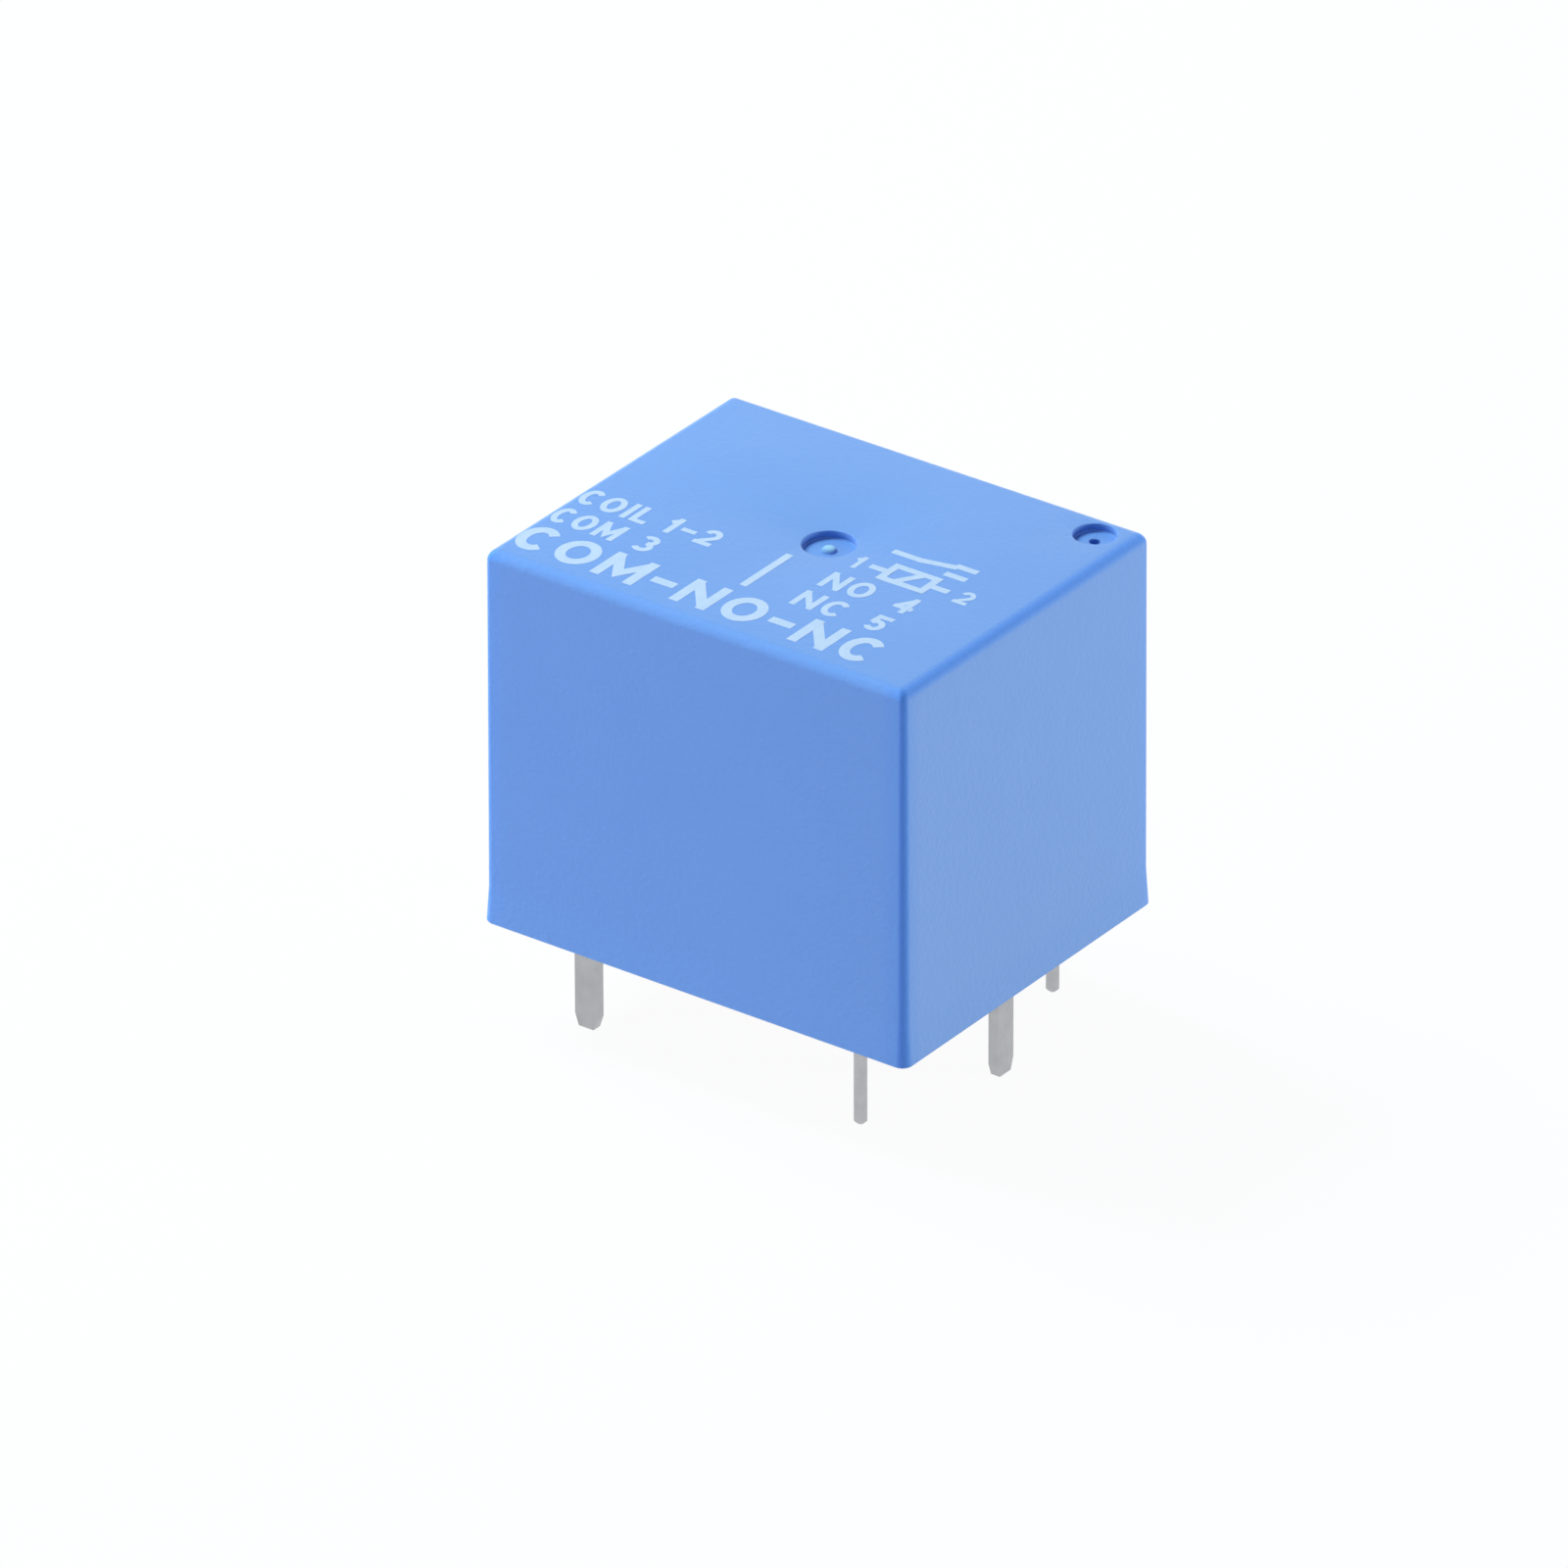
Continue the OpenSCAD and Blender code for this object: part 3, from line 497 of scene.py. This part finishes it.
def moulded_plastic(name, light, dark, roughness, grain_mm, relief_mm, ior=1.55, sheen=0.0):
    """Moulded plastic: nearly even colour with faint clouds of flow, a fine eroded grain and a satin gloss.

    The grain of a mould is near 0.05 mm and is drawn coarser, so that it shows in the render.
    """
    material, tree, shader, place = start_finish(name, light, roughness, ior=ior, sheen=sheen)
    clouds = add_node(tree, "ShaderNodeTexNoise", {"Vector": place, "Scale": per_metre(3.5), "Detail": 3.0})
    tint = add_node(tree, "ShaderNodeMix", {
        "Factor": clouds.outputs["Fac"], "A": linear(dark), "B": linear(light)}, data_type="RGBA")
    grain = add_node(tree, "ShaderNodeTexNoise", {
        "Vector": place, "Scale": per_metre(grain_mm), "Detail": 2.0})
    gloss = add_node(tree, "ShaderNodeMapRange", {
        "Value": grain.outputs["Fac"], "To Min": roughness - 0.06, "To Max": roughness + 0.06})
    bump = add_node(tree, "ShaderNodeBump", {
        "Height": grain.outputs["Fac"], "Strength": 0.6, "Distance": relief_mm * MM})
    feed(tree, shader, {
        "Base Color": colour_of(tint), "Roughness": gloss.outputs["Result"],
        "Normal": bump.outputs["Normal"]})
    return material


def tint_where(material, share, colour):
    """Mixes a colour into a material's base colour, by a share from 0 to 1 that an output gives."""
    tree = material.node_tree
    shader = next(node for node in tree.nodes if node.type == "BSDF_PRINCIPLED")
    before = shader.inputs["Base Color"].links[0].from_socket
    tint = add_node(tree, "ShaderNodeMix", {
        "Factor": share, "A": before, "B": linear(colour)}, data_type="RGBA")
    feed(tree, shader, {"Base Color": colour_of(tint)})


def whiten_gate(material, pale):
    """Paler plastic where the gate was torn off, stretched and so full of tiny cracks.

    The share of the pale colour falls from 1 to 0 with the distance from the middle of the stub's top.
    """
    white_mm, faded_mm = 0.14, 0.34
    tree = material.node_tree
    place = next(node for node in tree.nodes if node.type == "TEX_COORD").outputs["Object"]
    stub_top = (GATE[0] * MM, GATE[1] * MM, (RECESS_FLOOR + STUB_HEIGHT) * MM)
    away = add_node(tree, "ShaderNodeVectorMath", {0: place, 1: stub_top}, operation="DISTANCE")
    share = add_node(tree, "ShaderNodeMapRange", {
        "Value": away.outputs["Value"], "From Min": white_mm * MM, "From Max": faded_mm * MM,
        "To Min": 1.0, "To Max": 0.0})
    tint_where(material, share.outputs["Result"], pale)


def paint_edge_shade(material, edge_shade_colour):
    """Painted shade: a deeper blue mixed into the base colour along the rounded edges of the end walls."""
    edge = add_node(material.node_tree, "ShaderNodeAttribute", attribute_name="edge_shade")
    tint_where(material, edge.outputs["Fac"], edge_shade_colour)


def worked_metal(name, light, dark, roughness, cloud_mm, line_mm, stretch):
    """Sheet or wire metal: plated colour with faint clouds, and fine lines left by rolling or drawing."""
    material, tree, shader, place = start_finish(name, light, roughness, metallic=1.0)
    clouds = add_node(tree, "ShaderNodeTexNoise", {
        "Vector": place, "Scale": per_metre(cloud_mm), "Detail": 4.0})
    tint = add_node(tree, "ShaderNodeMix", {
        "Factor": clouds.outputs["Fac"], "A": linear(dark), "B": linear(light)}, data_type="RGBA")
    drawn = add_node(tree, "ShaderNodeMapping", {"Vector": place, "Scale": stretch})
    lines = add_node(tree, "ShaderNodeTexNoise", {
        "Vector": drawn.outputs["Vector"], "Scale": per_metre(line_mm), "Detail": 3.0})
    gloss = add_node(tree, "ShaderNodeMapRange", {
        "Value": lines.outputs["Fac"], "To Min": roughness - 0.08, "To Max": roughness + 0.1})
    bump = add_node(tree, "ShaderNodeBump", {
        "Height": lines.outputs["Fac"], "Strength": 0.5, "Distance": 0.002 * MM})
    feed(tree, shader, {
        "Base Color": colour_of(tint), "Roughness": gloss.outputs["Result"],
        "Normal": bump.outputs["Normal"]})
    return material


def enamelled_copper():
    """Wound copper wire under enamel: red-brown and glossy, in level turns, with painted shade in the gaps
    between them.

    The turns are a sine of the height. The wire is near 0.08 mm and is drawn coarser, so that it shows.
    """
    turn_mm = 0.24
    material, tree, shader, place = start_finish("enamelled_copper_wire", "#b8642c", 0.25, metallic=1.0)
    # The texture's own bands are 2 pi over 20 apart
    turns = add_node(tree, "ShaderNodeTexWave", {
        "Vector": place, "Scale": math.pi / 10 * per_metre(turn_mm), "Distortion": 0.6, "Detail Scale": 0.4},
        bands_direction="Z")
    # Painted shade: the colour is darker where the wave is low, in the grooves between the turns
    tint = add_node(tree, "ShaderNodeMix", {
        "Factor": turns.outputs["Fac"], "A": linear("#7a3a18"), "B": linear("#c77338")}, data_type="RGBA")
    bump = add_node(tree, "ShaderNodeBump", {
        "Height": turns.outputs["Fac"], "Strength": 0.8, "Distance": turn_mm / 4 * MM})
    feed(tree, shader, {"Base Color": colour_of(tint), "Normal": bump.outputs["Normal"]})
    return material


def poured_resin():
    """Epoxy poured round the pins: dark and glossy, with a slow wave in its face and specks of filler."""
    material, tree, shader, place = start_finish("poured_epoxy", "#3a3d41", 0.22, ior=1.56)
    specks = add_node(tree, "ShaderNodeTexNoise", {"Vector": place, "Scale": per_metre(0.22), "Detail": 4.0})
    tint = add_node(tree, "ShaderNodeMix", {
        "Factor": specks.outputs["Fac"], "A": linear("#2e3134"), "B": linear("#45494d")}, data_type="RGBA")
    wave = add_node(tree, "ShaderNodeTexNoise", {"Vector": place, "Scale": per_metre(2.5), "Detail": 2.0})
    bump = add_node(tree, "ShaderNodeBump", {
        "Height": wave.outputs["Fac"], "Strength": 0.5, "Distance": 0.03 * MM})
    gloss = add_node(tree, "ShaderNodeMapRange", {
        "Value": specks.outputs["Fac"], "To Min": 0.16, "To Max": 0.32})
    feed(tree, shader, {
        "Base Color": colour_of(tint), "Roughness": gloss.outputs["Result"],
        "Normal": bump.outputs["Normal"]})
    return material


def pad_print_ink():
    """White printing ink on blue: thin, so a little of the blue comes through in soft patches."""
    material, tree, shader, place = start_finish("pad_print_ink", "#bfd1f0", 0.5, ior=1.48)
    thin = add_node(tree, "ShaderNodeTexNoise", {"Vector": place, "Scale": per_metre(0.35), "Detail": 4.0})
    tint = add_node(tree, "ShaderNodeMix", {
        "Factor": thin.outputs["Fac"], "A": linear("#b3c9ed"), "B": linear("#cad8f3")}, data_type="RGBA")
    feed(tree, shader, {"Base Color": colour_of(tint)})
    return material


# Stage

def seen_rays(tree):
    """Output that is 1 for rays that show a surface: camera, glossy and transmission rays."""
    rays = add_node(tree, "ShaderNodeLightPath").outputs
    shown = add_node(tree, "ShaderNodeMath", {0: rays["Is Camera Ray"], 1: rays["Is Glossy Ray"]},
                     operation="MAXIMUM")
    every = add_node(tree, "ShaderNodeMath", {0: shown.outputs[0], 1: rays["Is Transmission Ray"]},
                     operation="MAXIMUM")
    return every.outputs[0]


def white_floor():
    """White sweep under the pins: mostly its own white where seen, with a faint lit part for the shadow.

    From below it is clear, so that the underside of the relay can be looked at.
    """
    reach_mm = 600.0
    own_white, own_share = 1.06, 0.9
    corners = [(x * reach_mm, y * reach_mm, -PIN_LENGTH) for x, y in ((-1, -1), (1, -1), (1, 1), (-1, 1))]
    mesh = new_mesh("floor", corners, [(0, 1, 2, 3)])
    floor = add_object("floor", mesh)
    material = bpy.data.materials.new("white_sweep")
    tree = empty_tree(material)
    lit = add_node(tree, "ShaderNodeBsdfDiffuse", {"Color": linear("#97a5b4")})
    glow = add_node(tree, "ShaderNodeEmission", {"Color": linear("#ffffff"), "Strength": own_white})
    share = add_node(tree, "ShaderNodeMath", {0: seen_rays(tree), 1: own_share}, operation="MULTIPLY")
    shown = add_node(tree, "ShaderNodeMixShader", {
        0: share.outputs[0], 1: lit.outputs[0], 2: glow.outputs[0]})
    clear = add_node(tree, "ShaderNodeBsdfTransparent")
    below = add_node(tree, "ShaderNodeNewGeometry").outputs["Backfacing"]
    both = add_node(tree, "ShaderNodeMixShader", {0: below, 1: shown.outputs[0], 2: clear.outputs[0]})
    add_node(tree, "ShaderNodeOutputMaterial", {"Surface": both.outputs[0]})
    mesh.materials.append(material)


def white_world(ambient):
    """World that shows white, and lights the object evenly with the given colour."""
    world = bpy.data.worlds.new("white_room")
    bpy.context.scene.world = world
    tree = empty_tree(world)
    colour = add_node(tree, "ShaderNodeMix", {
        "Factor": seen_rays(tree), "A": linear(ambient), "B": linear("#ffffff")}, data_type="RGBA")
    light = add_node(tree, "ShaderNodeBackground", {"Color": colour_of(colour)})
    add_node(tree, "ShaderNodeOutputWorld", {"Surface": light.outputs[0]})


def soft_lamp(name, azimuth, elevation, size, level, colour, distance=0.3):
    """Square soft box aimed at the relay. At a level of 1 a white surface that faces it shows as white.

    Its energy is the level times the square of pi times the distance.
    """
    lamp = bpy.data.lights.new(name, "AREA")
    lamp.shape = "SQUARE"
    lamp.size = size
    lamp.color = linear(colour)[:3]
    lamp.energy = level * (math.pi * distance) ** 2
    holder = add_object(name, lamp)
    turn, rise = math.radians(azimuth), math.radians(elevation)
    away = distance * math.cos(rise)
    holder.location = (away * math.sin(turn), -away * math.cos(turn),
                       distance * math.sin(rise) + HEIGHT / 2 * MM)
    holder.rotation_euler = (math.pi / 2 - rise, 0, turn)
    holder.visible_glossy = False


def photo_camera():
    """Camera at the photograph's angle and framing, found from the outline of the cover.

    It looks along the way back to the relay from the distance, rolled a little, and stands aside and above
    so that the origin falls where it does in the frame. The lens follows from the pixels per millimetre.
    """
    azimuth, elevation, roll = math.radians(36.12), math.radians(28.74), math.radians(-0.168)
    distance, aside, above = 681.3, -1.233, 4.638
    pixels_per_mm, frame_pixels = 28.0, 1600
    back = np.array([math.sin(azimuth) * math.cos(elevation), -math.cos(azimuth) * math.cos(elevation),
                     math.sin(elevation)])
    level = np.array([math.cos(azimuth), math.sin(azimuth), 0.0])
    rise = np.cross(back, level)
    right = level * math.cos(roll) + rise * math.sin(roll)
    up = rise * math.cos(roll) - level * math.sin(roll)
    stand = (distance * back + aside * right + above * up) * MM
    place = np.eye(4)
    place[:3] = np.stack([right, up, back, stand], axis=1)
    camera = bpy.data.cameras.new("camera")
    camera.sensor_width = 36.0
    camera.lens = pixels_per_mm * distance / frame_pixels * camera.sensor_width
    camera.clip_start = 0.01
    camera.clip_end = 10.0
    holder = add_object("camera", camera)
    holder.matrix_world = Matrix(place.tolist())
    bpy.context.scene.camera = holder


# The relay's finishes

# PBT from a spark-eroded mould: even blue, satin, paler at a glance along the face
blue_pbt = moulded_plastic("blue_moulded_pbt", "#6c9be4", "#6897e1", roughness=0.42, grain_mm=0.2,
                           relief_mm=0.03, ior=1.52, sheen=0.3)
whiten_gate(blue_pbt, "#9dcff4")
# Painted shade: a deeper blue along the rounded edges round the two end walls
paint_edge_shade(blue_pbt, "#5391f0")
# Glass-filled PBT: nearly black and dull, with a coarser skin
black_pbt = moulded_plastic("black_filled_pbt", "#303338", "#26292d", roughness=0.5, grain_mm=0.2,
                            relief_mm=0.006)
# Undyed nylon: cream, smooth and a little waxy
cream_nylon = moulded_plastic("cream_nylon", "#ece7da", "#e2dccb", roughness=0.45, grain_mm=0.25,
                              relief_mm=0.004, ior=1.53)
# Zinc-plated steel: cool grey, with the rolling lines upright on sheet and core
steel = worked_metal("zinc_plated_steel", "#c9ccd0", "#b4b8bd", roughness=0.32, cloud_mm=1.2,
                     line_mm=0.12, stretch=(1, 1, 0.15))
# Phosphor bronze strip: warm and bright, rolled along its length
bronze = worked_metal("phosphor_bronze_strip", "#cf9a5b", "#bd8344", roughness=0.28, cloud_mm=1.5,
                      line_mm=0.08, stretch=(0.1, 1, 1))
# Silver alloy: pale, finely worn
silver = worked_metal("silver_contact_alloy", "#e2e2e4", "#cfcfd3", roughness=0.3, cloud_mm=0.4,
                      line_mm=0.1, stretch=(1, 1, 1))
# Tinned brass strip: grey and softly shiny, drawn along the pins
tinned_strip = worked_metal("tinned_brass_strip", "#bdbec0", "#a4a6a9", roughness=0.32, cloud_mm=0.6,
                            line_mm=0.08, stretch=(1, 1, 0.2))
# Tinned copper wire: the same tin, with finer drawing lines
tinned_wire = worked_metal("tinned_copper_wire", "#c0c1c3", "#a8aaad", roughness=0.3, cloud_mm=0.5,
                           line_mm=0.08, stretch=(1, 1, 0.15))
# Tin solder: bright and slightly uneven
solder = worked_metal("tin_solder", "#d2d4d6", "#bcbfc2", roughness=0.25, cloud_mm=0.3,
                      line_mm=0.15, stretch=(1, 1, 1))

# The relay's pieces

cover = finish_piece("cover_moulding", cover_mesh(), blue_pbt, "housing")
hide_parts("cover")

resin = finish_piece("resin_pool", resin_mesh(), poured_resin(), "housing", 60.0)
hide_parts("sealing_resin")

ink = finish_piece("top_print", print_mesh(), pad_print_ink(), "housing", 30.0)

for names, finish in (
        (("base",), black_pbt), (("bobbin",), cream_nylon), (("coil_winding",), enamelled_copper()),
        (("core", "yoke", "armature"), steel), (("moving_spring",), bronze),
        (("moving_contact", "nc_contact", "no_contact"), silver),
        (("nc_terminal", "no_terminal", "com_terminal"), tinned_strip),
        (("coil_pin_front", "coil_pin_rear"), tinned_wire),
        (("coil_solder_front", "coil_solder_rear"), solder)):
    for name in names:
        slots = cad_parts[name].data.materials
        slots.clear()
        slots.append(finish)

leaf_spring(bronze)

# White floor and world, soft lamps and the camera

white_floor()
white_world("#536487")
soft_lamp("key_box", azimuth=-90, elevation=51, size=0.12, level=1.23, colour="#edfff0")
soft_lamp("left_box", azimuth=-36, elevation=4, size=0.06, level=0.7, colour="#fff6f0")
soft_lamp("right_box", azimuth=120, elevation=4, size=0.06, level=1.04, colour="#ffeed4")
photo_camera()
bpy.context.scene.view_settings.view_transform = "Standard"
